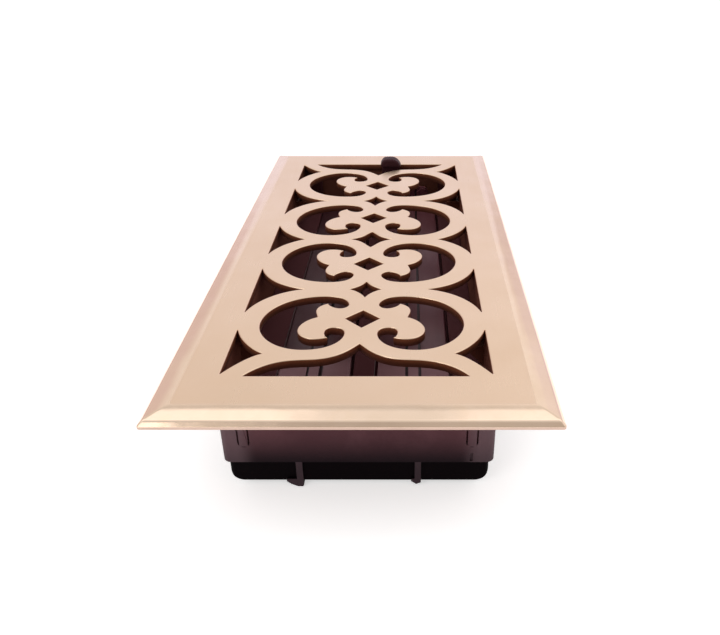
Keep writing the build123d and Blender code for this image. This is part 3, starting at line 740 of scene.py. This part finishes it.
def floor():
    m, nt, b = new_material("floor_pale")
    tc = node(nt, "ShaderNodeTexCoord").outputs["Object"]
    f = noise(nt, tc, 3.0, 2.0, 0.5)
    nt.links.new(ramp(nt, f, [(0.3, grey(0.86)), (0.7, grey(0.90))]),
                 b.inputs["Base Color"])
    b.inputs["Emission Color"].default_value = (1, 1, 1, 1)
    b.inputs["Emission Strength"].default_value = 0.55
    b.inputs["Roughness"].default_value = 0.9
    b.inputs["Specular IOR Level"].default_value = 0.1
    me = bpy.data.meshes.new("floor")
    s = 6.0
    me.from_pydata([(-s, -s, 0), (s, -s, 0), (s, s, 0), (-s, s, 0)], [],
                   [(0, 1, 2, 3)])
    me.materials.append(m)
    o = bpy.data.objects.new("floor", me)
    o.location = (0, 0, FLOOR_Z)
    bpy.context.scene.collection.objects.link(o)


floor()


def area_light(name, loc, target, size, power, color=(1, 1, 1), size_y=None):
    d = bpy.data.lights.new(name, "AREA")
    d.energy = power
    d.color = color
    d.size = size
    if size_y:
        d.shape = "RECTANGLE"
        d.size_y = size_y
    o = bpy.data.objects.new(name, d)
    o.location = loc
    v = Vector(target) - Vector(loc)
    o.rotation_euler = v.to_track_quat("-Z", "Y").to_euler()
    bpy.context.scene.collection.objects.link(o)
    return o


area_light("overhead_left", (-0.66, 0.30, 1.25), (-0.66, 0.29, 0), 0.9, 1.0,
           (1.0, 0.99, 0.98), size_y=0.9)
area_light("overhead_right", (0.62, 0.30, 1.25), (0.62, 0.29, 0), 0.9, 0.95,
           (1.0, 0.98, 0.97), size_y=0.9)
area_light("front_left", (-0.95, -1.17, 0.88), (0, -0.05, -0.02), 0.85, 4.8)


def studio_world():
    """Pale room: bright behind and overhead, dimmer towards the front."""
    world = bpy.data.worlds.new("studio")
    bpy.context.scene.world = world
    world.use_nodes = True
    nt = world.node_tree
    bg = nt.nodes["Background"]
    tc = node(nt, "ShaderNodeTexCoord")
    sep = node(nt, "ShaderNodeSeparateXYZ")
    nt.links.new(tc.outputs["Generated"], sep.inputs[0])
    # 0 at the horizon behind the object, 0.5 overhead, 1 at the one in front
    ang = node(nt, "ShaderNodeMath", operation="ARCTAN2")
    nt.links.new(sep.outputs["Z"], ang.inputs[0])
    nt.links.new(sep.outputs["Y"], ang.inputs[1])
    turn = math_node(nt, "DIVIDE", ang.outputs[0], math.pi)

    def tone(v, warm=0.0):
        return (v, v * (1 - 0.5 * warm), v * (1 - warm), 1.0)

    col = ramp(nt, turn, [(0.00, (0.96, 0.900, 1.02, 1)),
                          (0.09, (0.96, 0.905, 1.02, 1)),
                          (0.145, (0.94, 0.92, 0.95, 1)),
                          (0.190, tone(0.91, 0.04)), (0.225, tone(0.80, 0.06)),
                          (0.265, tone(0.66, 0.06)), (0.300, tone(0.72, 0.03)),
                          (0.335, tone(0.93)), (0.44, tone(1.0)),
                          (0.58, tone(0.80)), (0.70, tone(0.55, 0.08)),
                          (0.84, tone(0.34, 0.10)), (1.00, tone(0.30, 0.12))])
    # low down behind it: a duller wall on the left, a pinkish one on the right
    az = node(nt, "ShaderNodeMath", operation="ARCTAN2")
    nt.links.new(sep.outputs["X"], az.inputs[0])
    nt.links.new(sep.outputs["Y"], az.inputs[1])
    side = math_node(nt, "ADD", math_node(nt, "DIVIDE", az.outputs[0],
                                          math.pi), 0.5)
    walls = ramp(nt, side, [(0.00, (0.88, 0.81, 0.78, 1)),
                            (0.30, (0.80, 0.71, 0.67, 1)),
                            (0.366, (0.80, 0.71, 0.67, 1)),
                            (0.380, (0.88, 0.81, 0.78, 1)),
                            (0.398, (1, 1, 1, 1)), (0.572, (1, 1, 1, 1)),
                            (0.592, (0.80, 0.73, 0.66, 1)),
                            (0.612, (0.84, 0.77, 0.75, 1)),
                            (0.640, (0.88, 0.83, 0.84, 1)),
                            (1.00, (0.96, 0.91, 0.92, 1))])
    low = ramp(nt, sep.outputs["Z"], [(0.36, grey(1.0)), (0.50, grey(0.0))])
    col = mix_color(nt, low, col,
                    mix_color(nt, 1.0, col, walls, mode="MULTIPLY"))
    nt.links.new(col, bg.inputs["Color"])
    # a little brighter half way up on the right
    right = node(nt, "ShaderNodeMapRange", interpolation_type="SMOOTHSTEP")
    right.inputs["From Min"].default_value = 0.518
    right.inputs["From Max"].default_value = 0.556
    nt.links.new(side, right.inputs["Value"])
    band = ramp(nt, sep.outputs["Z"], [(0.30, grey(0.0)), (0.44, grey(1.0)),
                                       (0.74, grey(1.0)), (0.86, grey(0.0))])
    lift = math_node(nt, "MULTIPLY", right.outputs["Result"], band)
    lift = math_node(nt, "ADD", math_node(nt, "MULTIPLY", lift, 0.13), 1.03)
    nt.links.new(lift, bg.inputs["Strength"])
    # the room itself is seen as plain white
    plain = node(nt, "ShaderNodeBackground")
    plain.inputs["Color"].default_value = (1.0, 1.0, 1.0, 1.0)
    plain.inputs["Strength"].default_value = 1.0
    seen = node(nt, "ShaderNodeLightPath")
    both = node(nt, "ShaderNodeMixShader")
    nt.links.new(seen.outputs["Is Camera Ray"], both.inputs[0])
    nt.links.new(bg.outputs[0], both.inputs[1])
    nt.links.new(plain.outputs[0], both.inputs[2])
    out = [n for n in nt.nodes if n.type == "OUTPUT_WORLD"][0]
    nt.links.new(both.outputs[0], out.inputs["Surface"])


studio_world()

# --------------------------------------------------------------------- camera
cam = bpy.data.cameras.new("camera")
cam.sensor_fit = "HORIZONTAL"
cam.sensor_width = 36.0
cam.lens = 726.698 / 720.0 * 36.0
cam.shift_x = (360.0 - 408.175) / 720.0
cam.shift_y = 0.0
cam.clip_start = 0.01
co = bpy.data.objects.new("camera", cam)
co.location = (0.017956, -0.327957, 0.143699)
co.rotation_euler = (math.radians(90.0 - 29.2477), 0.0, 0.0)
bpy.context.scene.collection.objects.link(co)
bpy.context.scene.camera = co
bpy.context.scene.view_settings.view_transform = "Standard"
